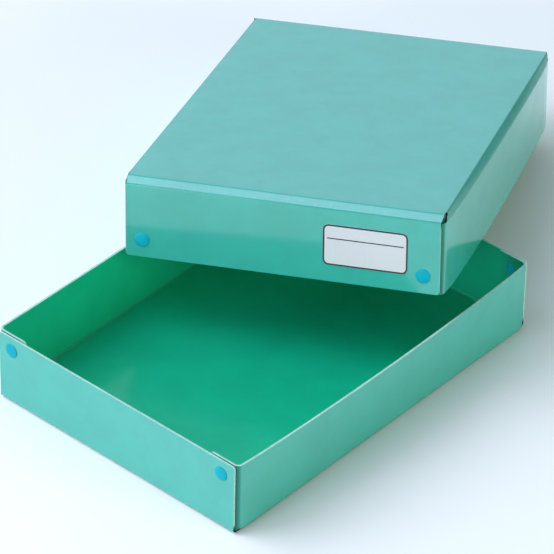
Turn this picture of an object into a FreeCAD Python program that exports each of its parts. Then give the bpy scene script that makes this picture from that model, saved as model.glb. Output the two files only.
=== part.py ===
import FreeCAD, Part
import math
import os

# Art supply box: a shallow tray and a lid of the same depth that slides over it. Each is folded
# from one sheet of laminated board and held at its four corners by plastic rivets.
# Millimetres. The origin is the middle of the tray's underside, +X runs along its long side
# towards the rear end and +Z is up. The lid leans on the tray's rim with one corner on the table.

# Board
BOARD = 1.5
CORNER_INNER_RADIUS = 3.0
FLAP_LENGTH = 26.0
FLAP_CORNER_RADIUS = 2.0
LAYER_GAP = 0.5
END_WALL_INSET = 2.5
END_WALL_DROP = 0.6
END_WALL_CORNER_RADIUS = 2.0
RELIEF_RUN = 2.5
RELIEF_RISE = 1.5

# Tray
TRAY_LENGTH = 320.0
TRAY_WIDTH = 230.0
TRAY_HEIGHT = 60.0
TRAY_FOLD_LEG = 2.0
TRAY_RIVET_FROM_RIM = 12.0

# Rivets
RIVET_FROM_SIDE = 14.5
RIVET_HEAD_DIAMETER = 11.2
RIVET_HEAD_RISE = 1.0
RIVET_HEAD_TAPER = 0.8
RIVET_SHANK_DIAMETER = 5.0
RIVET_HOLE_CLEARANCE = 0.2
RIVET_CAP_DIAMETER = 9.0
RIVET_CAP_RISE = 0.9
RIVET_CAP_TAPER = 0.5
RIVET_CAP_CLEARANCE = 0.05
RIVET_PASSING_GAP = 0.2

# Lid
LID_SIDE_CLEARANCE = 3.0
LID_HEADROOM = 0.5
LID_FOLD_LEG = 5.0
LID_RIVET_FROM_RIM = 14.0

# Lid at rest: its turn on the tray, where its left rim crosses the tray's left wall, measured from
# the tray's rear end, and how far it reaches forward of that crossing
LID_TURN = 24.7
LID_CROSSING = 170.4
LID_FRONT_REACH = 34.3
LID_REST_GAP = 0.3

# Name label
LABEL_WIDTH = 63.0
LABEL_HEIGHT = 32.0
LABEL_THICKNESS = 0.2
LABEL_CORNER_RADIUS = 4.5
LABEL_FROM_SIDE = 26.0
LABEL_FROM_RIM = 13.4

CORNER_RADIUS = CORNER_INNER_RADIUS + BOARD
RIVET_GRIP = 2 * BOARD + LAYER_GAP

# A lid rivet's cap passes a tray rivet's head as the lid goes on.
LID_END_CLEARANCE = RIVET_HEAD_RISE + RIVET_CAP_RISE + RIVET_PASSING_GAP
LID_LENGTH = TRAY_LENGTH + 2 * (LID_END_CLEARANCE + RIVET_GRIP)
LID_WIDTH = TRAY_WIDTH + 2 * (LID_SIDE_CLEARANCE + BOARD)
LID_HEIGHT = TRAY_HEIGHT + LID_HEADROOM + BOARD

X_AXIS = FreeCAD.Vector(1, 0, 0)
Y_AXIS = FreeCAD.Vector(0, 1, 0)
Z_AXIS = FreeCAD.Vector(0, 0, 1)
ENDS = {-1: "front", 1: "rear"}


class Half:
    """One folded half, standing on its panel with its walls up and its front end towards -X."""

    def __init__(self, length, width, height, fold_leg, rivet_from_rim):
        self.end_face = length / 2
        self.side_face = width / 2
        self.height = height
        self.fold_leg = fold_leg
        self.rivet_height = height - rivet_from_rim
        self.flap_face = self.end_face - BOARD - LAYER_GAP
        self.corner_bend = self.flap_face - CORNER_RADIUS
        self.relief_start = self.corner_bend - RELIEF_RUN
        self.end_wall_edge = self.side_face - END_WALL_INSET
        self.end_wall_rim = height - END_WALL_DROP
        self.flap_bottom = fold_leg + RELIEF_RISE

    def board(self):
        pieces = []
        for side in (-1, 1):
            pieces.append(self.long_wall(side))
            for end in ENDS:
                pieces.append(self.flap(end, side))
        for end in ENDS:
            pieces.append(self.end_wall(end))
        board = self.panel().fuse(pieces).removeSplitter()
        holes = [self.rivet_hole(end, side) for end in ENDS for side in (-1, 1)]
        return board.cut(holes)

    def panel(self):
        """The flat panel between the folds, with its corners cut back for the reliefs."""
        near_side = self.side_face - self.fold_leg
        near_end = self.end_face - self.fold_leg
        quarter = [(self.relief_start, near_side), (near_end, self.end_wall_edge)]
        outline = quarter + [(x, -y) for x, y in reversed(quarter)]
        outline += [(-x, -y) for x, y in quarter] + [(-x, y) for x, y in reversed(quarter)]
        corners = [FreeCAD.Vector(x, y, 0) for x, y in outline]
        face = Part.Face(Part.makePolygon(corners + corners[:1]))
        return face.extrude(Z_AXIS * BOARD)

    def long_wall(self, side):
        """A long wall between its corner bends, with its fold relieved at both ends."""
        start = X_AXIS * -self.corner_bend
        section = fold_section(start, Y_AXIS * side, self.side_face, self.height, self.fold_leg)
        wall = section.extrude(X_AXIS * 2 * self.corner_bend)
        for end in ENDS:
            low = FreeCAD.Vector(end * self.relief_start, 0, 0)
            out = FreeCAD.Vector(end * self.corner_bend, 0, 0)
            high = out + Z_AXIS * self.flap_bottom
            relief = Part.Face(Part.makePolygon([low, out, high, low]))
            wall = wall.cut(relief.extrude(Y_AXIS * side * self.side_face))
        return wall

    def flap(self, end, side):
        """A corner flap: the long wall carried round its bend, behind the end wall."""
        start = Y_AXIS * side * self.side_face + Z_AXIS * self.flap_bottom
        section = bend_section(
            start, X_AXIS * end, Y_AXIS * -side, self.flap_face, FLAP_LENGTH, CORNER_RADIUS)
        flap = section.extrude(Z_AXIS * (self.height - self.flap_bottom))
        return round_rim_corners(flap, self.height, FLAP_CORNER_RADIUS)

    def end_wall(self, end):
        """An end wall, whose rim stands a little lower than the flaps behind it."""
        start = Y_AXIS * -self.end_wall_edge
        section = fold_section(start, X_AXIS * end, self.end_face, self.end_wall_rim, self.fold_leg)
        wall = section.extrude(Y_AXIS * 2 * self.end_wall_edge)
        return round_rim_corners(wall, self.end_wall_rim, END_WALL_CORNER_RADIUS)

    def rivet_seat(self, end, side):
        """The middle of a rivet's head on the outer face of an end wall."""
        across = side * (self.side_face - RIVET_FROM_SIDE)
        return FreeCAD.Vector(end * self.end_face, across, self.rivet_height)

    def rivet_hole(self, end, side):
        radius = (RIVET_SHANK_DIAMETER + RIVET_HOLE_CLEARANCE) / 2
        return Part.makeCylinder(radius, RIVET_GRIP, self.rivet_seat(end, side), X_AXIS * -end)

    def rivet_stud(self, end, side):
        """A tapered head outside the end wall and a shank through both layers and the cap."""
        head = RIVET_HEAD_DIAMETER / 2
        shank = RIVET_SHANK_DIAMETER / 2
        tip = -RIVET_GRIP - RIVET_CAP_RISE
        outline = [
            (0, RIVET_HEAD_RISE), (head - RIVET_HEAD_TAPER, RIVET_HEAD_RISE), (head, 0), (shank, 0),
            (shank, tip), (0, tip)]
        return turned(outline, self.rivet_seat(end, side), end)

    def rivet_cap(self, end, side):
        """A tapered washer on the shank, seated on the inner face of the flap."""
        rim = RIVET_CAP_DIAMETER / 2
        bore = (RIVET_SHANK_DIAMETER + RIVET_CAP_CLEARANCE) / 2
        outline = [(bore, 0), (rim, 0), (rim - RIVET_CAP_TAPER, RIVET_CAP_RISE), (bore, RIVET_CAP_RISE)]
        seat = self.rivet_seat(end, side) - X_AXIS * end * RIVET_GRIP
        return turned(outline, seat, -end)


def fold_section(start, outward, reach, height, leg):
    """The section of a wall that is folded up from the panel along two pressed lines."""
    mitre = BOARD * math.tan(math.pi / 8)
    outline = [
        (reach - leg, 0), (reach, leg), (reach, height), (reach - BOARD, height),
        (reach - BOARD, leg + mitre), (reach - leg - mitre, BOARD)]
    corners = [start + outward * out + Z_AXIS * up for out, up in outline]
    return Part.Face(Part.makePolygon(corners + corners[:1]))


def bend_section(start, outward, onward, reach, length, radius):
    """The section of a board that bends by a right angle at its outer face's reach."""
    def at(out, on):
        return start + outward * out + onward * on

    centre = at(reach - radius, radius)
    inner = radius - BOARD
    middle = (outward - onward) * math.sqrt(0.5)
    outer_bend = Part.Arc(at(reach - radius, 0), centre + middle * radius, at(reach, radius))
    inner_bend = Part.Arc(
        at(reach - BOARD, radius), centre + middle * inner, at(reach - radius, BOARD))
    edges = [
        outer_bend.toShape(),
        Part.makeLine(at(reach, radius), at(reach, length)),
        Part.makeLine(at(reach, length), at(reach - BOARD, length)),
        Part.makeLine(at(reach - BOARD, length), at(reach - BOARD, radius)),
        inner_bend.toShape(),
        Part.makeLine(at(reach - radius, BOARD), at(reach - radius, 0))]
    return Part.Face(Part.Wire(edges))


def round_rim_corners(wall, rim, radius):
    """Round the free corners that the rim of a wall or flap ends in."""
    corners = []
    for edge in wall.Edges:
        along = edge.Vertexes[-1].Point - edge.Vertexes[0].Point
        through_board = abs(abs(along.x) - BOARD) < 1e-6 and abs(along.y) < 1e-6
        if through_board and abs(edge.CenterOfMass.z - rim) < 1e-6:
            corners.append(edge)
    return wall.makeFillet(radius, corners)


def turned(outline, seat, facing):
    """Turn an outline of radii and heights, point its axis along X and set it on its seat."""
    corners = [FreeCAD.Vector(radius, 0, height) for radius, height in outline]
    face = Part.Face(Part.makePolygon(corners + corners[:1]))
    solid = face.revolve(FreeCAD.Vector(), Z_AXIS, 360)
    solid.rotate(FreeCAD.Vector(), Y_AXIS, 90 * facing)
    solid.translate(seat)
    return solid


def name_label(lid):
    """A thin card with rounded corners on the lid's front end wall, near its right side."""
    corner = FreeCAD.Vector(
        -lid.end_face - LABEL_THICKNESS,
        lid.side_face - LABEL_FROM_SIDE - LABEL_WIDTH,
        lid.height - LABEL_FROM_RIM - LABEL_HEIGHT)
    card = Part.makeBox(LABEL_THICKNESS, LABEL_WIDTH, LABEL_HEIGHT, corner)
    through = [edge for edge in card.Edges if abs(edge.Length - LABEL_THICKNESS) < 1e-6]
    return card.makeFillet(LABEL_CORNER_RADIUS, through)


def lid_placement(lid):
    """Turn the lid over and lean it: both side rims on the tray, the rear left corner on the table.

    The left rim crosses the tray's left wall and the right rim crosses its rear wall, both with
    their inner edges touching first, so the two touching points are the lid's inner width apart
    square to the rims.
    """
    slope = TRAY_HEIGHT / (lid.end_face + lid.flap_face - LID_FRONT_REACH)
    level = math.sqrt(1 - slope ** 2)
    turn = math.radians(LID_TURN)
    rearward = FreeCAD.Vector(level * math.cos(turn), level * math.sin(turn), -slope)
    left_touch = FreeCAD.Vector(TRAY_LENGTH / 2 - LID_CROSSING, TRAY_WIDTH / 2, TRAY_HEIGHT)

    inner_width = LID_WIDTH - 2 * BOARD
    square = 1 - rearward.y ** 2
    linear = -2 * LID_CROSSING * rearward.x * rearward.y
    constant = LID_CROSSING ** 2 * (1 - rearward.x ** 2) - inner_width ** 2
    step = (-linear - math.sqrt(linear ** 2 - 4 * square * constant)) / (2 * square)
    between = FreeCAD.Vector(-LID_CROSSING, -step, 0)
    leftward = (between - rearward * between.dot(rearward)) / inner_width
    upward = rearward.cross(leftward)

    front_left = left_touch - rearward * LID_FRONT_REACH + leftward * BOARD + Z_AXIS * LID_REST_GAP
    top = front_left + rearward * lid.end_face - leftward * lid.side_face + upward * lid.height
    return FreeCAD.Matrix(
        rearward.x, -leftward.x, -upward.x, top.x,
        rearward.y, -leftward.y, -upward.y, top.y,
        rearward.z, -leftward.z, -upward.z, top.z,
        0, 0, 0, 1)


def half_pieces(name, half, sides):
    """The board of a half and its rivets, by node name."""
    pieces = {name + "_board": half.board()}
    for end, end_name in ENDS.items():
        for side, side_name in sides.items():
            corner = "_".join((name, end_name, side_name, "rivet"))
            pieces[corner + "_stud"] = half.rivet_stud(end, side)
            pieces[corner + "_cap"] = half.rivet_cap(end, side)
    return pieces


def main():
    os.makedirs("parts", exist_ok=True)
    tray = Half(TRAY_LENGTH, TRAY_WIDTH, TRAY_HEIGHT, TRAY_FOLD_LEG, TRAY_RIVET_FROM_RIM)
    lid = Half(LID_LENGTH, LID_WIDTH, LID_HEIGHT, LID_FOLD_LEG, LID_RIVET_FROM_RIM)
    pieces = half_pieces("tray", tray, {-1: "right", 1: "left"})
    lid_pieces = half_pieces("lid", lid, {-1: "left", 1: "right"})
    lid_pieces["name_label"] = name_label(lid)
    lean = lid_placement(lid)
    for name, shape in lid_pieces.items():
        pieces[name] = shape.transformed(lean, True)
    for name, shape in pieces.items():
        shape.exportStep("parts/" + name + ".step")


main()
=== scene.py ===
"""Looks of an art supply box: two folded boards, their rivets and a name label on a white floor."""

import math

import bmesh
import bpy
from bpy.props import FloatProperty, FloatVectorProperty, PointerProperty
from mathutils import Matrix, Vector


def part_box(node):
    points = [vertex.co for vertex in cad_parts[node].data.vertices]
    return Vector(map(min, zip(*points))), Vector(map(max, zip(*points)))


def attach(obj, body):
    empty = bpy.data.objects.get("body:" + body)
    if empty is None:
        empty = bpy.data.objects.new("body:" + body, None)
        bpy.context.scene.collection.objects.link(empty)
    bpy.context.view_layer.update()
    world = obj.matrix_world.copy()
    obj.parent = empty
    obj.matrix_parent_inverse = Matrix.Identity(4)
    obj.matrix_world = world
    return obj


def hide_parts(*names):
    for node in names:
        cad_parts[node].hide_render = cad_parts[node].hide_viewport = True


bl_info = {
    "name": "Art supply box",
    "version": (1, 0, 0),
    "blender": (4, 5, 0),
    "location": "View3D > Sidebar > Art Box",
    "description": "Folds the boards of an art supply box and sets its rivets, label and stage",
    "category": "Object",
}

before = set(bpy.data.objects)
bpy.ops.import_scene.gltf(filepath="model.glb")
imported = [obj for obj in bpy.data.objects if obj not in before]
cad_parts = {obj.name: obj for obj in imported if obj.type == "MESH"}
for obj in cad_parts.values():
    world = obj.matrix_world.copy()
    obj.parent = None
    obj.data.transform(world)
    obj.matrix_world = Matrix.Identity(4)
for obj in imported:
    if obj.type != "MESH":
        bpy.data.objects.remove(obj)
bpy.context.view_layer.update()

MM = 0.001
TINY = 1e-6
RIGHT_ANGLE = math.pi / 2
X_AXIS = Vector((1, 0, 0))
Y_AXIS = Vector((0, 1, 0))
Z_AXIS = Vector((0, 0, 1))

# Ends and sides of a half, as signs along its own X and Y; the lid is turned over, so its sides swap
ENDS = {-1: "front", 1: "rear"}
TRAY_RIGHT = -1
LID_RIGHT = 1
TRAY_SIDES = {TRAY_RIGHT: "right", -TRAY_RIGHT: "left"}
LID_SIDES = {-LID_RIGHT: "left", LID_RIGHT: "right"}

# Steps of grids, bends, rounded corners and turned shapes
PANEL_COLUMNS = 32
PANEL_ROWS = 22
CREASE_STEPS = 4
CORNER_STEPS = 6
WALL_STEPS = 5
RIM_CORNER_STEPS = 4
LABEL_CORNER_STEPS = 8
TURN_STEPS = 48
SEAM_WIDTH = 1e-7

# How dark the pressed lines show along the long folds and the end folds, and where the painted shade of
# the end walls' edges on the corner bends starts and how fast it deepens
LONG_SCORE = 0.8
END_SCORE = 0.15
BEND_SHADE_START = 0.25
BEND_SHADE_GAIN = 2.5

# Powers that shape a bowed or swollen wall, along the wall and up to its rim
TRAY_BOW_PEAK = 1.0
LID_BOW_PEAK = 0.75
BOW_ARCH = 0.7
BOW_RISE = 1.2
SWELL_ARCH = 0.4

# Places of the inner face's and the cut edges' materials on a board
INNER_FACE = 1
CUT_EDGE = 2

# Rounding of cut edges, and the angles from which an edge counts as sharp
BOARD_ROUNDING = 0.3 * MM
CARD_ROUNDING = 0.04 * MM
SHARP_ON_BOARD = math.radians(55)
SHARP_ON_CARD = math.radians(40)
SHARP_ON_RIVET = math.radians(38)

# A rivet's domed head, in shares of its radius and rise, its shank's chamfer and its cap's details
HEAD_PROFILE = ((0, 1), (0.45, 0.97), (0.74, 0.86), (0.89, 0.68), (0.97, 0.42), (1, 0.15), (1, 0))
TIP_CHAMFER = 0.2 * MM
TIP_SHARE = 0.86
CAP_PLAY = 0.02 * MM
CAP_SHOULDER = 0.2 * MM
CAP_TAPER = 0.6 * MM
CAP_MOUTH = 0.3 * MM

# The label's print: the frame's inset and the ruled line's weight in shares of the line width, the
# ruled line's height above the middle in shares of the label, and its distance from the label's sides
FRAME_INSET = 0.55
RULE_WEIGHT = 0.34
RULE_HEIGHT = 0.16
RULE_MARGIN = 3.2 * MM

# Second tones of the finishes
RUBBED_FILM = (0.42, 0.70, 0.64, 1.0)
STAINED_FIBRES = (0.20, 0.52, 0.44, 1.0)
# Painted shade on the cut edges inside the reliefs
RELIEF_PAINTED_SHADE = (0.004, 0.030, 0.022, 1.0)
RUBBED_PLASTIC = (0.02, 0.46, 0.60, 1.0)


def length(name, description, millimetres):
    return FloatProperty(name=name, description=description, default=millimetres * MM, unit="LENGTH")


def colour(name, description, values):
    return FloatVectorProperty(
        name=name, description=description, default=values, subtype="COLOR", size=3, min=0, max=1)


class BoardSettings(bpy.types.PropertyGroup):
    """Sizes of the folded board."""
    thickness: length("Thickness", "Thickness of the laminated board", 1.5)
    tray_fold_leg: length("Tray fold leg", "Depth and height of the slanted fold round the tray", 2.0)
    lid_fold_leg: length("Lid fold leg", "Depth and height of the slanted fold round the lid", 5.0)
    corner_radius: length("Corner radius", "Outer radius of the upright corner bends", 4.5)
    flap_length: length("Flap length", "Reach of a corner flap behind its end wall", 26.0)
    layer_gap: length("Layer gap", "Room between an end wall and the flaps behind it", 0.5)
    end_wall_inset: length("End wall inset", "Distance from the end wall's edge to the side face", 2.5)
    end_wall_drop: length("End wall drop", "How far an end wall's rim stands below its flaps' rim", 0.6)
    relief_shade_run: length("Relief run", "Length of the cut at each end of a long fold", 2.5)
    relief_shade_rise: length("Relief rise", "Height of the flap's lower edge above the fold", 1.5)
    rim_corner: length("Rim corner", "Radius of the free corners of walls and flaps", 2.0)
    crease_radius: length("Crease radius", "Outer radius of the pressed lines of a fold", 1.8)
    crease_depth: length("Crease depth", "Depth of the groove in a pressed line", 0.12)
    tray_bow: length("Tray bow", "How far the tray's right rim bows out", 4.3)
    lid_bow: length("Lid bow", "How far the lid's right rim bows out", 3.6)
    right_front: length("Right front", "How far the lid's panel is drawn out at its front right", 4.6)
    right_rear: length("Right rear", "How far the lid's panel is drawn out at its rear right", 4.4)
    right_belly: length("Right belly", "How far the lid's right wall swells out at its fold", 4.2)
    left_front: length("Left front", "How far the lid's panel is drawn out at its front left", 2.9)
    left_rear: length("Left rear", "How far the lid's panel is drawn out at its rear left", 1.0)


class RivetSettings(bpy.types.PropertyGroup):
    """Sizes of the plastic rivets."""
    from_side: length("From side", "Distance from the rivet's middle to the side face", 14.5)
    from_tray_rim: length("From tray rim", "Distance from a tray rivet's middle to the rim", 12.0)
    from_lid_rim: length("From lid rim", "Distance from a lid rivet's middle to the rim", 14.0)
    head_diameter: length("Head diameter", "Diameter of the head", 11.2)
    head_rise: length("Head rise", "Height of the head", 1.0)
    shank_diameter: length("Shank diameter", "Diameter of the shank", 5.0)
    cap_diameter: length("Cap diameter", "Diameter of the cap on the inside", 9.0)
    cap_rise: length("Cap rise", "Height of the cap", 0.9)


class LabelSettings(bpy.types.PropertyGroup):
    """Sizes of the name label."""
    width: length("Width", "Width of the label", 63.0)
    height: length("Height", "Height of the label", 32.0)
    thickness: length("Thickness", "Thickness of the label", 0.2)
    corner_radius: length("Corner radius", "Radius of the label's corners", 4.5)
    from_side: length("From side", "Distance from the label to the lid's right side", 26.0)
    from_rim: length("From rim", "Distance from the label to the lid's rim", 13.4)
    line_width: length("Line width", "Width of the printed frame", 1.3)


class FinishSettings(bpy.types.PropertyGroup):
    """Colours of the finishes."""
    outer_green: colour("Outer green", "Printed and laminated outer face", (0.030, 0.405, 0.325))
    inner_green: colour("Inner green", "Printed inner face", (0.003, 0.510, 0.280))
    raw_edge: colour("Raw edge", "Cut edges of the board", (0.480, 0.720, 0.640))
    rivet_blue: colour("Rivet blue", "Moulded rivets", (0.0, 0.370, 0.450))
    label_white: colour("Label white", "Paper of the label", (0.640, 0.665, 0.680))
    label_ink: colour("Label ink", "Printed lines of the label", (0.012, 0.014, 0.016))
    floor_white: colour("Floor white", "Studio floor", (0.97, 0.96, 0.95))


SETTINGS = {
    "box_board": BoardSettings,
    "box_rivet": RivetSettings,
    "box_label": LabelSettings,
    "box_finish": FinishSettings,
}


class Half:
    """One half's sizes and place. Its own X runs to its rear end and its own Z from panel to rim."""

    def __init__(self, name, place, size):
        board = bpy.context.scene.box_board
        self.name = name
        self.place = place
        self.end_face = size.x / 2
        self.side_face = size.y / 2
        self.height = size.z
        self.fold_leg = getattr(board, name + "_fold_leg")
        self.near_end = self.end_face - self.fold_leg
        self.near_side = self.side_face - self.fold_leg
        self.flap_face = self.end_face - board.thickness - board.layer_gap
        self.corner_bend = self.flap_face - board.corner_radius
        self.relief_shade_start = self.corner_bend - board.relief_shade_run
        self.end_wall_edge = self.side_face - board.end_wall_inset
        self.end_wall_rim = self.height - board.end_wall_drop
        self.flap_bottom = self.fold_leg + board.relief_shade_rise


def widest_face_normal(node, towards):
    """The normal of a CAD node's largest face, on the side that a direction points to."""
    normal = max(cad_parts[node].data.polygons, key=lambda face: face.area).normal.copy()
    return normal if normal.dot(towards) > 0 else -normal


def middle(node):
    low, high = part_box(node)
    return (low + high) / 2


def tray_half():
    low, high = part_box("tray_board")
    foot = Vector(((low.x + high.x) / 2, (low.y + high.y) / 2, low.z))
    return Half("tray", Matrix.Translation(foot), high - low)


def lid_half():
    """The lid's half in its leaning place, read from the CAD board and the label on its front end."""
    up = widest_face_normal("lid_board", Z_AXIS)
    front = widest_face_normal("name_label", middle("name_label") - middle("lid_board"))
    rearward = -(front - up * front.dot(up)).normalized()
    axes = (rearward, rearward.cross(up), -up)
    corners = [vert.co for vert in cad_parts["lid_board"].data.vertices]
    low = Vector([min(corner.dot(axis) for corner in corners) for axis in axes])
    high = Vector([max(corner.dot(axis) for corner in corners) for axis in axes])
    turn = Matrix(axes).transposed()
    foot = turn @ Vector(((low.x + high.x) / 2, (low.y + high.y) / 2, low.z))
    return Half("lid", Matrix.Translation(foot) @ turn.to_4x4(), high - low)


class Sheet:
    """A board's outer face, folded up from its panel edge by edge."""

    def __init__(self, half):
        self.half = half
        self.board = bpy.context.scene.box_board
        # Each crease takes this much from the faces on both sides of it.
        self.spare = self.board.crease_radius * math.tan(math.pi / 8)
        self.panel_side = half.near_side - self.spare
        self.panel_end = half.near_end - self.spare
        self.wall_start = half.fold_leg + self.spare
        self.bm = bmesh.new()
        self.score_and_shade = self.bm.verts.layers.float.new("score_and_shade")
        self.fold = self.bm.verts.layers.float.new("fold")
        self.relief_shade = self.bm.verts.layers.float.new("relief_shade")

    def edges_where(self, test):
        return [edge for edge in self.bm.edges if all(test(vert.co) for vert in edge.verts)]

    def carry(self, edges, move, score_and_shade=0.0, fold=0.0):
        """Extrude a row of edges by one move and return the new row."""
        made = bmesh.ops.extrude_edge_only(self.bm, edges=edges)["geom"]
        verts = [item for item in made if isinstance(item, bmesh.types.BMVert)]
        bmesh.ops.translate(self.bm, verts=verts, vec=move)
        for vert in verts:
            vert[self.score_and_shade] = score_and_shade
            vert[self.fold] = fold
        fresh = set(verts)
        return [
            item for item in made
            if isinstance(item, bmesh.types.BMEdge) and fresh.issuperset(item.verts)]

    def bend(self, edges, centre, axis, angle, steps):
        """Bend a row of edges about an axis and return the last row and all new vertices."""
        verts = list({vert for edge in edges for vert in edge.verts})
        before = set(self.bm.verts)
        made = bmesh.ops.spin(
            self.bm, geom=verts + edges, cent=centre, axis=axis, angle=angle, steps=steps)
        fresh = [vert for vert in self.bm.verts if vert not in before]
        for vert in fresh:
            vert[self.score_and_shade] = 0.0
            vert[self.fold] = 1.0
        return [item for item in made["geom_last"] if isinstance(item, bmesh.types.BMEdge)], fresh

    def crease(self, edges, onward, inward, axis, score_and_shade):
        """Bend a row of edges by half a right angle along a pressed line."""
        radius = self.board.crease_radius
        start = sum((vert.co for edge in edges for vert in edge.verts), Vector()) / (2 * len(edges))
        centre = start + inward * radius
        edges, fresh = self.bend(edges, centre, axis, RIGHT_ANGLE / 2, CREASE_STEPS)
        half_way = Matrix.Rotation(RIGHT_ANGLE / 4, 3, axis)
        low = half_way @ (start - centre)
        across = half_way @ onward
        for vert in fresh:
            vert[self.score_and_shade] = score_and_shade / 2
            if abs((vert.co - centre).dot(across)) < TINY:
                vert[self.score_and_shade] = score_and_shade
                vert.co -= low.normalized() * self.board.crease_depth
        return edges

    def fold_up(self, edges, outward, axis, score_and_shade):
        """Fold a row of edges from the panel up into a wall, with a slanted face between two creases."""
        slant = (outward + Z_AXIS).normalized()
        edges = self.crease(edges, outward, Z_AXIS, axis, score_and_shade)
        run = self.half.fold_leg * math.sqrt(2) - 2 * self.spare
        edges = self.carry(edges, slant * run, score_and_shade / 2, 1.0)
        return self.crease(edges, slant, (Z_AXIS - outward).normalized(), axis, score_and_shade)

    def raise_wall(self, edges, rim):
        """Carry a row of edges from the height of the flaps' lower edges up to a rim."""
        rise = (rim - self.half.flap_bottom) / WALL_STEPS
        for _ in range(WALL_STEPS):
            edges = self.carry(edges, Z_AXIS * rise)

    def panel(self):
        """The flat panel between the reliefs, up to where its folds start."""
        bmesh.ops.create_grid(
            self.bm, x_segments=PANEL_COLUMNS, y_segments=PANEL_ROWS, size=1.0,
            matrix=Matrix.Diagonal((self.half.relief_shade_start, self.panel_side, 1, 1)))

    def long_wall(self, side):
        """A long wall, whose fold is cut back at both ends for the reliefs."""
        half = self.half
        known = set(self.bm.verts)
        edges = self.edges_where(lambda co: abs(co.y - side * self.panel_side) < TINY)
        edges = self.fold_up(edges, Y_AXIS * side, X_AXIS * side, LONG_SCORE)
        edges = self.carry(edges, Z_AXIS * (half.flap_bottom - self.wall_start))
        for vert in self.bm.verts:
            if vert not in known and abs(vert.co.x) > half.relief_shade_start - TINY:
                slant = self.board.relief_shade_run * vert.co.z / half.flap_bottom
                vert.co.x += math.copysign(slant, vert.co.x)
        self.raise_wall(edges, half.height)

    def flap(self, end, side):
        """The long wall carried round its corner bend, behind the end wall."""
        half = self.half
        edges = self.edges_where(
            lambda co: abs(co.x - end * half.corner_bend) < TINY
            and abs(co.y - side * half.side_face) < TINY
            and co.z > half.flap_bottom - TINY)
        radius = self.board.corner_radius
        pivot = Vector((end * half.corner_bend, side * (half.side_face - radius), 0))
        edges, fresh = self.bend(edges, pivot, Z_AXIS * -end * side, RIGHT_ANGLE, CORNER_STEPS)
        # Painted shade: each corner bend darkens towards the end wall's edge, which shades it
        for vert in fresh:
            round_the_bend = (abs(vert.co.x) - half.corner_bend) / radius
            vert[self.score_and_shade] = min(1.0, max(0.0, round_the_bend - BEND_SHADE_START) * BEND_SHADE_GAIN)
        self.carry(edges, Y_AXIS * -side * (self.board.flap_length - radius))

    def end_wall(self, end):
        """An end wall, from a last row of the panel that spreads to the wall's edges.

        Where the panel is drawn out past the wall's edge, the slanted fold narrows from it to the wall.
        """
        half = self.half
        known = set(self.bm.verts)
        edges = self.edges_where(
            lambda co: abs(co.x - end * half.relief_shade_start) < TINY and abs(co.z) < TINY)
        edges = self.carry(edges, X_AXIS * end * (self.panel_end - half.relief_shade_start))
        verts = {vert for edge in edges for vert in edge.verts}
        first, last = (pick(vert.co.y for vert in verts) for pick in (min, max))
        for vert in verts:
            vert.co.y = half.end_wall_edge * (2 * (vert.co.y - first) / (last - first) - 1)
        edges = self.fold_up(edges, X_AXIS * end, Y_AXIS * -end, END_SCORE)
        for vert in self.bm.verts:
            if vert not in known and abs(abs(vert.co.y) - half.end_wall_edge) < TINY:
                reach = last if vert.co.y > 0 else -first
                spread = max(0.0, reach - half.end_wall_edge) * (1 - vert.co.z / self.wall_start)
                vert.co.y += math.copysign(spread, vert.co.y)
        edges = self.carry(edges, Z_AXIS * (half.flap_bottom - self.wall_start))
        self.raise_wall(edges, half.end_wall_rim)

    def round_rim_corners(self):
        """Round the free corners that the rims of end walls and flaps end in."""
        half = self.half
        flap_end = half.side_face - self.board.flap_length
        corners = []
        for vert in self.bm.verts:
            across, along = abs(vert.co.y), abs(vert.co.x)
            on_wall = abs(across - half.end_wall_edge) < TINY and abs(along - half.end_face) < TINY
            on_flap = abs(across - flap_end) < TINY and abs(along - half.flap_face) < TINY
            at_wall_rim = abs(vert.co.z - half.end_wall_rim) < TINY
            at_flap_rim = abs(vert.co.z - half.height) < TINY
            if (on_wall and at_wall_rim) or (on_flap and at_flap_rim):
                corners.append(vert)
        bmesh.ops.bevel(
            self.bm, geom=corners, offset=self.board.rim_corner, offset_type="OFFSET",
            affect="VERTICES", segments=RIM_CORNER_STEPS, profile=0.5, material=-1)

    def mark_reliefs(self):
        """Mark the cut edges that lie hidden in the reliefs at the panel's corners, which their finish
        darkens as painted shade.
        """
        for vert in self.bm.verts:
            if vert.is_boundary and vert.co.z < self.half.flap_bottom + TINY:
                vert[self.relief_shade] = 1.0

    def bow_wall(self, side, bow, peak):
        """Let a long wall bow out towards its rim, between its corner bends.

        A peak under 1 moves the widest place towards the front end.
        """
        half = self.half
        fold = half.fold_leg
        for vert in self.bm.verts:
            if vert.co.y * side < half.near_side or abs(vert.co.x) >= half.corner_bend - TINY:
                continue
            share = (vert.co.x + half.corner_bend) / (2 * half.corner_bend)
            arch = max(0.0, math.sin(math.pi * share ** peak)) ** BOW_ARCH
            rise = max(0.0, (vert.co.z - fold) / (half.height - fold))
            vert.co.y += side * bow * arch * rise ** BOW_RISE

    def draw_out(self, side, front, rear, belly):
        """Draw the panel out to a squarer long fold, and let the wall beside it swell near the fold."""
        half = self.half
        for vert in self.bm.verts:
            if vert.co.y * side < self.panel_side - TINY:
                continue
            share = (vert.co.x + half.corner_bend) / (2 * half.corner_bend)
            if vert.co.z < half.fold_leg / 2:
                reach = front + (rear - front) * share
            elif abs(vert.co.x) < half.corner_bend - TINY:
                arch = math.sin(math.pi * share) ** SWELL_ARCH
                reach = belly * arch * (1 - vert.co.z / half.height)
            else:
                continue
            vert.co.y += side * reach

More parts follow.
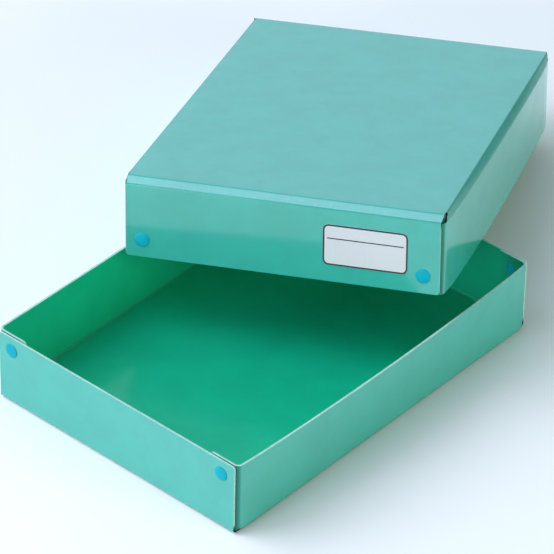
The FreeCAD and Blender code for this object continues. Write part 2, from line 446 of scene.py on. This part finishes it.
    def folded(self, drawn_out):
        """Fold the whole sheet; drawn_out gives the sides that draw_out changes, with its lengths."""
        self.panel()
        for side in TRAY_SIDES:
            self.long_wall(side)
            for end in ENDS:
                self.flap(end, side)
        for side, *reaches in drawn_out:
            self.draw_out(side, *reaches)
        for end in ENDS:
            self.end_wall(end)
        self.round_rim_corners()
        self.mark_reliefs()
        return self

    def face_outwards(self):
        """Make all faces point outwards, which is downwards for the panel."""
        bmesh.ops.recalc_face_normals(self.bm, faces=self.bm.faces)
        lowest = min(self.bm.faces, key=lambda face: face.calc_center_median().z)
        if lowest.normal.z > 0:
            bmesh.ops.reverse_faces(self.bm, faces=self.bm.faces)


class Value:
    """A socket of a node tree, with arithmetic that adds Math nodes."""

    def __init__(self, tree, socket):
        self.tree = tree
        self.socket = socket

    def maths(self, operation, *values):
        return add_node(self.tree, "ShaderNodeMath", {"operation": operation}, dict(enumerate(values)))

    def __add__(self, other):
        return self.maths("ADD", self, other)

    def __radd__(self, other):
        return self.maths("ADD", other, self)

    def __sub__(self, other):
        return self.maths("SUBTRACT", self, other)

    def __rsub__(self, other):
        return self.maths("SUBTRACT", other, self)

    def __mul__(self, other):
        return self.maths("MULTIPLY", self, other)

    def __rmul__(self, other):
        return self.maths("MULTIPLY", other, self)

    def __pow__(self, other):
        return self.maths("POWER", self, other)

    def __abs__(self):
        return self.maths("ABSOLUTE", self)

    def at_least(self, other):
        return self.maths("MAXIMUM", self, other)

    def below(self, other):
        return self.maths("LESS_THAN", self, other)


def add_node(tree, kind, settings=None, inputs=None, output=0):
    """Add a node, set its settings first and then its sockets, and return one of its outputs."""
    node = tree.nodes.new(kind)
    for name, value in (settings or {}).items():
        setattr(node, name, value)
    for name, value in (inputs or {}).items():
        if isinstance(value, Value):
            tree.links.new(value.socket, node.inputs[name])
        else:
            node.inputs[name].default_value = value
    return Value(tree, node.outputs[output]) if node.outputs else None


class Finish:
    """A material under construction, with the few patterns that the finishes share."""

    def __init__(self, name):
        self.material = bpy.data.materials.new(name)
        self.material.use_nodes = True
        self.tree = self.material.node_tree
        self.tree.nodes.clear()
        self.place = self.node("ShaderNodeTexCoord", output="Object")

    def node(self, kind, settings=None, inputs=None, output=0):
        return add_node(self.tree, kind, settings, inputs, output)

    def noise(self, scale, detail=2.0, roughness=0.5, stretch=None):
        place = self.place
        if stretch:
            place = self.node("ShaderNodeMapping", None, {"Vector": place, "Scale": stretch})
        inputs = {"Vector": place, "Scale": scale, "Detail": detail, "Roughness": roughness}
        return self.node("ShaderNodeTexNoise", None, inputs, "Fac")

    def attribute(self, name):
        return self.node("ShaderNodeAttribute", {"attribute_name": name}, None, "Fac")

    def step(self, value, low, high):
        """A smooth step from 0 to 1 as a value goes from low to high."""
        return self.node(
            "ShaderNodeMapRange", {"interpolation_type": "SMOOTHSTEP"},
            {"Value": value, "From Min": low, "From Max": high, "To Min": 0.0, "To Max": 1.0})

    def mix(self, share, first, second):
        """A colour between two, by the sockets' places, since Mix repeats its sockets' names."""
        return self.node("ShaderNodeMix", {"data_type": "RGBA"}, {0: share, 6: first, 7: second}, 2)

    def bump(self, height, distance, strength=1.0, normal=None):
        inputs = {"Height": height, "Distance": distance, "Strength": strength}
        if normal:
            inputs["Normal"] = normal
        return self.node("ShaderNodeBump", None, inputs)

    def surface(self, inputs):
        shader = self.node("ShaderNodeBsdfPrincipled", None, inputs)
        self.node("ShaderNodeOutputMaterial", None, {"Surface": shader})
        return self.material


def opaque(values):
    return (*values, 1.0)


def tinted(values, factor):
    return tuple(min(1.0, value * factor) for value in values) + (1.0,)


def laminate_finish(name, base, gloss):
    """Printed board under a glossy film, darker along its pressed lines, with painted shade on its
    corner bends, and rubbed along its folds.
    """
    finish = Finish(name)
    clouds = finish.noise(38.0, 3.0, 0.6)
    specks = finish.noise(900.0, 2.0, 0.6)
    tone = finish.mix(finish.step(clouds, 0.3, 0.7), tinted(base, 0.955), tinted(base, 1.045))
    tone = finish.mix(finish.step(specks, 0.62, 0.78) * 0.10, tone, tinted(base, 1.35))
    fold = finish.step(finish.attribute("fold"), 0.75, 1.0)
    rub = finish.step(finish.noise(210.0, 3.0, 0.65), 0.52, 0.72) * fold
    tone = finish.mix(rub * 0.08, tone, RUBBED_FILM)
    # Darker along the pressed lines, and painted shade on the corner bends next to the end walls' edges
    score_and_shade = finish.attribute("score_and_shade")
    tone = finish.mix(score_and_shade * 0.9, tone, tinted(base, 0.42))
    grain = finish.bump(finish.noise(1500.0, 3.0, 0.6), 0.00001, 0.35)
    waves = finish.bump(finish.noise(45.0, 2.0, 0.5), 0.0006, 0.05, grain)
    roughness = finish.noise(70.0, 3.0, 0.6) * 0.10 + (0.46 + rub * 0.2)
    return finish.surface({
        "Base Color": tone, "Roughness": roughness, "Specular IOR Level": 0.25,
        "Coat Weight": gloss - score_and_shade * (0.85 * gloss), "Coat Roughness": 0.22 - gloss * 0.12,
        "Coat IOR": 1.65, "Normal": waves})


def raw_edge_finish(name, base):
    """Cut board: pale fibres stained in patches, with painted shade inside the reliefs."""
    finish = Finish(name)
    fibres = finish.noise(700.0, 4.0, 0.7, (1.0, 1.0, 2.2))
    patches = finish.noise(90.0, 2.0, 0.5)
    tone = finish.mix(finish.step(fibres, 0.35, 0.7), tinted(base, 0.80), tinted(base, 1.10))
    tone = finish.mix(finish.step(patches, 0.45, 0.75) * 0.35, tone, STAINED_FIBRES)
    # Painted shade: the cut edges in the reliefs go nearly black
    relief_shade = finish.step(finish.attribute("relief_shade"), 0.5, 1.0)
    tone = finish.mix(relief_shade, tone, RELIEF_PAINTED_SHADE)
    return finish.surface({
        "Base Color": tone, "Roughness": 0.8, "Specular IOR Level": 0.3,
        "Normal": finish.bump(fibres, 0.00012, 0.6)})


def rivet_finish(name, base):
    """Moulded plastic with a fine matt texture and a few rubbed spots."""
    finish = Finish(name)
    texture = finish.noise(1400.0, 3.0, 0.6)
    clouds = finish.noise(160.0, 2.0, 0.5)
    tone = finish.mix(finish.step(clouds, 0.3, 0.7), tinted(base, 0.93), tinted(base, 1.06))
    tone = finish.mix(finish.step(texture, 0.6, 0.8) * 0.18, tone, RUBBED_PLASTIC)
    return finish.surface({
        "Base Color": tone, "Roughness": 0.46 + texture * 0.12, "Specular IOR Level": 0.15,
        "Normal": finish.bump(texture, 0.00002, 0.5)})


def label_finish(name, paper, ink, label):
    """Smooth paper with a printed frame and one ruled line."""
    finish = Finish(name)
    spot = finish.node("ShaderNodeUVMap", {"uv_map": "label"})
    parts = {
        axis: finish.node("ShaderNodeSeparateXYZ", None, {"Vector": spot}, axis) for axis in ("X", "Y")}
    across, up = parts["X"], parts["Y"]
    fibres = finish.noise(1100.0, 4.0, 0.65)
    tone = finish.mix(finish.step(fibres, 0.3, 0.75), tinted(paper, 0.96), tinted(paper, 1.02))
    round_corner = label.corner_radius - label.line_width * FRAME_INSET
    beyond_x = (abs(across) - (label.width / 2 - label.corner_radius)).at_least(0.0)
    beyond_y = (abs(up) - (label.height / 2 - label.corner_radius)).at_least(0.0)
    reach = (beyond_x ** 2 + beyond_y ** 2) ** 0.5
    frame_line = abs(reach - round_corner).below(label.line_width / 2)
    rule_line = abs(up - label.height * RULE_HEIGHT).below(label.line_width * RULE_WEIGHT)
    rule_line = rule_line * abs(across).below(label.width / 2 - RULE_MARGIN)
    lines = frame_line.at_least(rule_line)
    tone = finish.mix(lines * 0.95, tone, opaque(ink))
    return finish.surface({
        "Base Color": tone, "Roughness": 0.42 + fibres * 0.12, "Specular IOR Level": 0.2,
        "Normal": finish.bump(fibres, 0.00001, 0.5)})


def finished_object(name, bm, materials, place):
    """Turn a bmesh into an object at the origin, with its place in its mesh."""
    bmesh.ops.transform(bm, matrix=place, verts=bm.verts)
    for face in bm.faces:
        face.smooth = True
    mesh = bpy.data.meshes.new(name)
    bm.to_mesh(mesh)
    bm.free()
    for material in materials:
        mesh.materials.append(material)
    piece = bpy.data.objects.new(name, mesh)
    bpy.context.scene.collection.objects.link(piece)
    return piece


def keep_modifiers(piece):
    """Make a piece's modifiers its mesh."""
    bpy.context.view_layer.update()
    depsgraph = bpy.context.evaluated_depsgraph_get()
    made = bpy.data.meshes.new_from_object(piece.evaluated_get(depsgraph))
    piece.modifiers.clear()
    piece.data = made


def soften_edges(piece, width, angle, material=-1):
    """Round a piece's sharp edges, in a material of their own where one is given."""
    piece.data.set_sharp_from_angle(angle=angle)
    bevel = piece.modifiers.new("Softened edges", "BEVEL")
    bevel.width = width
    bevel.segments = 2
    bevel.limit_method = "ANGLE"
    bevel.angle_limit = angle
    bevel.harden_normals = True
    bevel.material = material


def board_piece(half, materials):
    """Give a folded sheet its thickness inwards, with raw edges, and put it in its place."""
    board = bpy.context.scene.box_board
    if half.name == "tray":
        sheet = Sheet(half).folded(())
        sheet.bow_wall(TRAY_RIGHT, board.tray_bow, TRAY_BOW_PEAK)
    else:
        sheet = Sheet(half).folded((
            (LID_RIGHT, board.right_front, board.right_rear, board.right_belly),
            (-LID_RIGHT, board.left_front, board.left_rear, 0.0)))
        sheet.bow_wall(LID_RIGHT, board.lid_bow, LID_BOW_PEAK)
    sheet.face_outwards()
    piece = finished_object(half.name + "_folded_board", sheet.bm, materials, half.place)
    wall = piece.modifiers.new("Board thickness", "SOLIDIFY")
    wall.thickness = board.thickness
    wall.offset = -1.0
    wall.use_even_offset = True
    wall.use_quality_normals = True
    wall.material_offset = INNER_FACE
    wall.material_offset_rim = CUT_EDGE
    keep_modifiers(piece)
    # The rounded edges take the pale cut-edge finish: worn edges showing the board's core, and a painted
    # highlight along the sharp edges
    soften_edges(piece, BOARD_ROUNDING, SHARP_ON_BOARD, CUT_EDGE)
    return piece


class BOX_OT_boards(bpy.types.Operator):
    """Fold the tray's and the lid's boards"""
    bl_idname = "box.boards"
    bl_label = "Folded boards"

    def execute(self, context):
        finish = context.scene.box_finish
        materials = [
            laminate_finish("outer_laminate", finish.outer_green, 1.0),
            laminate_finish("inner_laminate", finish.inner_green, 0.45),
            raw_edge_finish("raw_board_edge", finish.raw_edge)]
        for half in (tray_half(), lid_half()):
            piece = board_piece(half, materials)
            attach(piece, half.name)
            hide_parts(half.name + "_board")
        return {"FINISHED"}


def turned(outline):
    """Turn an outline of radii and heights about Z into a closed shape."""
    bm = bmesh.new()
    verts = [bm.verts.new((radius, 0, height)) for radius, height in outline]
    edges = [bm.edges.new(pair) for pair in zip(verts, verts[1:])]
    bmesh.ops.spin(
        bm, geom=verts + edges, cent=(0, 0, 0), axis=Z_AXIS, angle=2 * math.pi, steps=TURN_STEPS,
        use_merge=True)
    bmesh.ops.remove_doubles(bm, verts=bm.verts, dist=SEAM_WIDTH)
    bmesh.ops.recalc_face_normals(bm, faces=bm.faces)
    return bm


def stud_outline(rivet, grip):
    """A domed head over a shank that goes through both layers and the cap behind them."""
    head = rivet.head_diameter / 2
    shank = rivet.shank_diameter / 2
    tip = -grip - rivet.cap_rise
    dome = [(head * out, rivet.head_rise * up) for out, up in HEAD_PROFILE]
    return dome + [(shank, 0), (shank, tip + TIP_CHAMFER), (shank * TIP_SHARE, tip), (0, tip)]


def cap_outline(rivet):
    """A low ring with a rounded shoulder and a widened mouth."""
    rim = rivet.cap_diameter / 2
    bore = rivet.shank_diameter / 2 + CAP_PLAY
    rise = rivet.cap_rise
    outline = [
        (bore, 0), (rim, 0), (rim, rise * 0.3), (rim - CAP_SHOULDER, rise * 0.7),
        (rim - CAP_TAPER, rise), (bore + CAP_MOUTH, rise), (bore, rise * 0.75)]
    return outline + outline[:1]


class BOX_OT_rivets(bpy.types.Operator):
    """Set a stud and a cap at each riveted corner"""
    bl_idname = "box.rivets"
    bl_label = "Rivets"

    def execute(self, context):
        rivet = context.scene.box_rivet
        board = context.scene.box_board
        material = rivet_finish("rivet_plastic", context.scene.box_finish.rivet_blue)
        grip = 2 * board.thickness + board.layer_gap
        halves = (
            (tray_half(), TRAY_SIDES, rivet.from_tray_rim), (lid_half(), LID_SIDES, rivet.from_lid_rim))
        for half, sides, from_rim in halves:
            for end, end_name in ENDS.items():
                for side, side_name in sides.items():
                    seat = Vector((
                        end * half.end_face, side * (half.side_face - rivet.from_side),
                        half.height - from_rim))
                    facing = Matrix.Rotation(end * RIGHT_ANGLE, 4, "Y")
                    place = half.place @ Matrix.Translation(seat) @ facing
                    corner = "_".join((half.name, end_name, side_name))
                    stud = finished_object(
                        corner + "_stud", turned(stud_outline(rivet, grip)), [material], place)
                    inside = Matrix.Translation((0, 0, -grip)) @ Matrix.Rotation(math.pi, 4, "X")
                    cap = finished_object(
                        corner + "_cap", turned(cap_outline(rivet)), [material], place @ inside)
                    for piece, node in ((stud, "_rivet_stud"), (cap, "_rivet_cap")):
                        piece.data.set_sharp_from_angle(angle=SHARP_ON_RIVET)
                        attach(piece, half.name)
                        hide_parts(corner + node)
        return {"FINISHED"}


class BOX_OT_label(bpy.types.Operator):
    """Stick the name label on the lid's front end wall"""
    bl_idname = "box.label"
    bl_label = "Name label"

    def execute(self, context):
        label = context.scene.box_label
        finish = context.scene.box_finish
        half = lid_half()
        bm = bmesh.new()
        bmesh.ops.create_grid(
            bm, x_segments=1, y_segments=1, size=0.5,
            matrix=Matrix.Diagonal((label.width, label.height, 1, 1)))
        bmesh.ops.bevel(
            bm, geom=bm.verts[:], offset=label.corner_radius, offset_type="OFFSET", affect="VERTICES",
            segments=LABEL_CORNER_STEPS, profile=0.5, material=-1)
        layer = bm.loops.layers.uv.new("label")
        for face in bm.faces:
            for loop in face.loops:
                loop[layer].uv = loop.vert.co.xy
        across = half.side_face - label.from_side - label.width / 2
        up = half.height - label.from_rim - label.height / 2
        seat = Vector((-half.end_face - label.thickness, across, up))
        upright = Matrix((Y_AXIS, -Z_AXIS, -X_AXIS)).transposed().to_4x4()
        piece = finished_object(
            "name_label_card", bm,
            [label_finish("label_paper", finish.label_white, finish.label_ink, label)],
            half.place @ Matrix.Translation(seat) @ upright)
        card = piece.modifiers.new("Card thickness", "SOLIDIFY")
        card.thickness = label.thickness
        card.offset = -1.0
        keep_modifiers(piece)
        soften_edges(piece, CARD_ROUNDING, SHARP_ON_CARD)
        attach(piece, "lid")
        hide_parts("name_label")
        return {"FINISHED"}


# Camera, with its angles in degrees
CAMERA_PLACE = Vector((-1.9099, -1.6540, 2.0033))
CAMERA_AZIMUTH = -49.274
CAMERA_ELEVATION = 37.326
CAMERA_ROLL = 1.234
CAMERA_LENS = 287.4
CAMERA_SENSOR = 36.0
CAMERA_FAR = 50.0

# Surroundings, which brighten between two cosines of the angle to their bright side
SKY = (0.68, 0.87, 1.0)
BRIGHT_SIDE = Vector((0.1, 1.0, 0.0))
BRIGHT_GLOW = 1.2
DIM_GLOW = 0.28
DIM_UNTIL = 0.2
BRIGHT_FROM = 0.65

# Round lamps with their place, width, power and tint, and the spot that they all point to
LAMPS = {
    "Top lamp": ((-0.80, 0.42, 2.2), 1.0, 9.0, (0.76, 0.70, 1.0)),
    "Back lamp": ((-1.35, 1.7, 2.0), 2.6, 58.0, (0.84, 0.90, 1.0)),
    "Left lamp": ((-2.45, 0.15, 0.6), 1.2, 24.0, (0.98, 0.88, 1.0)),
    "Right lamp": ((0.3, -2.5, 0.7), 1.0, 29.0, (0.88, 1.0, 0.82)),
}
LIT_SPOT = Vector((0.05, 0.0, 0.05))

FLOOR_REACH = 6.0
FLOOR_DROP = 0.4 * MM


def add_camera():
    """Aim the camera by its azimuth, elevation and roll."""
    azimuth, elevation, roll = (
        math.radians(angle) for angle in (CAMERA_AZIMUTH, CAMERA_ELEVATION, CAMERA_ROLL))
    forward = Vector((
        -math.sin(azimuth) * math.cos(elevation), math.cos(azimuth) * math.cos(elevation),
        -math.sin(elevation)))
    level = forward.cross(Z_AXIS).normalized()
    down = forward.cross(level)
    right = level * math.cos(roll) - down * math.sin(roll)
    below = level * math.sin(roll) + down * math.cos(roll)
    data = bpy.data.cameras.new("Camera")
    data.lens = CAMERA_LENS
    data.sensor_width = CAMERA_SENSOR
    data.clip_end = CAMERA_FAR
    camera = bpy.data.objects.new("Camera", data)
    turn = Matrix((right, -below, -forward)).transposed().to_4x4()
    camera.matrix_world = Matrix.Translation(CAMERA_PLACE) @ turn
    bpy.context.scene.collection.objects.link(camera)
    bpy.context.scene.camera = camera


def add_lamp(name, place, size, power, tint):
    data = bpy.data.lights.new(name, "AREA")
    data.shape = "DISK"
    data.size = size
    data.energy = power
    data.color = tint
    lamp = bpy.data.objects.new(name, data)
    lamp.location = place
    lamp.rotation_mode = "QUATERNION"
    lamp.rotation_quaternion = (LIT_SPOT - Vector(place)).to_track_quat("-Z", "Y")
    bpy.context.scene.collection.objects.link(lamp)


def add_floor(white):
    """A plain white floor, a little below the box."""
    bm = bmesh.new()
    bmesh.ops.create_grid(bm, x_segments=1, y_segments=1, size=FLOOR_REACH)
    finish = Finish("studio_floor")
    grain = finish.noise(30.0)
    tone = finish.mix(grain, tinted(white, 0.99), opaque(white))
    matt = finish.node("ShaderNodeBsdfDiffuse", None, {"Color": tone})
    finish.node("ShaderNodeOutputMaterial", None, {"Surface": matt})
    floor = finished_object(
        "studio_floor", bm, [finish.material], Matrix.Translation((0, 0, -FLOOR_DROP)))


def add_world():
    """Studio surroundings: bright behind the box and dim in front of it."""
    world = bpy.data.worlds.new("Studio")
    world.use_nodes = True
    tree = world.node_tree
    tree.nodes.clear()
    direction = add_node(tree, "ShaderNodeTexCoord", None, None, "Generated")
    facing = add_node(
        tree, "ShaderNodeVectorMath", {"operation": "DOT_PRODUCT"},
        {0: direction, 1: BRIGHT_SIDE.normalized()}, "Value")
    share = add_node(
        tree, "ShaderNodeMapRange", {"interpolation_type": "SMOOTHSTEP"},
        {"Value": facing, "From Min": DIM_UNTIL, "From Max": BRIGHT_FROM, "To Min": 0.0, "To Max": 1.0})
    glow = share * (BRIGHT_GLOW - DIM_GLOW) + DIM_GLOW
    light = add_node(tree, "ShaderNodeBackground", None, {"Color": opaque(SKY), "Strength": glow})
    add_node(tree, "ShaderNodeOutputWorld", None, {"Surface": light})
    bpy.context.scene.world = world


class BOX_OT_stage(bpy.types.Operator):
    """Set the camera, the lamps and the white floor"""
    bl_idname = "box.stage"
    bl_label = "Stage"

    def execute(self, context):
        context.scene.view_settings.view_transform = "Standard"
        add_camera()
        add_floor(context.scene.box_finish.floor_white)
        add_world()
        for name, lamp in LAMPS.items():
            add_lamp(name, *lamp)
        return {"FINISHED"}


class BOX_PT_panel(bpy.types.Panel):
    """Sizes, colours and pieces of the art supply box"""
    bl_idname = "BOX_PT_panel"
    bl_label = "Art supply box"
    bl_space_type = "VIEW_3D"
    bl_region_type = "UI"
    bl_category = "Art Box"

    def draw(self, context):
        for name, group in SETTINGS.items():
            column = self.layout.column(align=True)
            column.label(text=group.__doc__)
            for prop in group.__annotations__:
                column.prop(getattr(context.scene, name), prop)
        for operator in OPERATORS:
            self.layout.operator(operator.bl_idname)


OPERATORS = (BOX_OT_boards, BOX_OT_rivets, BOX_OT_label, BOX_OT_stage)
CLASSES = (*SETTINGS.values(), *OPERATORS, BOX_PT_panel)


def register():
    for item in CLASSES:
        bpy.utils.register_class(item)
    for name, group in SETTINGS.items():
        setattr(bpy.types.Scene, name, PointerProperty(type=group))


def unregister():
    for name in SETTINGS:
        delattr(bpy.types.Scene, name)
    for item in reversed(CLASSES):
        bpy.utils.unregister_class(item)


def main():
    register()
    bpy.ops.box.boards()
    bpy.ops.box.rivets()
    bpy.ops.box.label()
    bpy.ops.box.stage()
    bpy.context.view_layer.update()


if __name__ == "__main__":
    main()
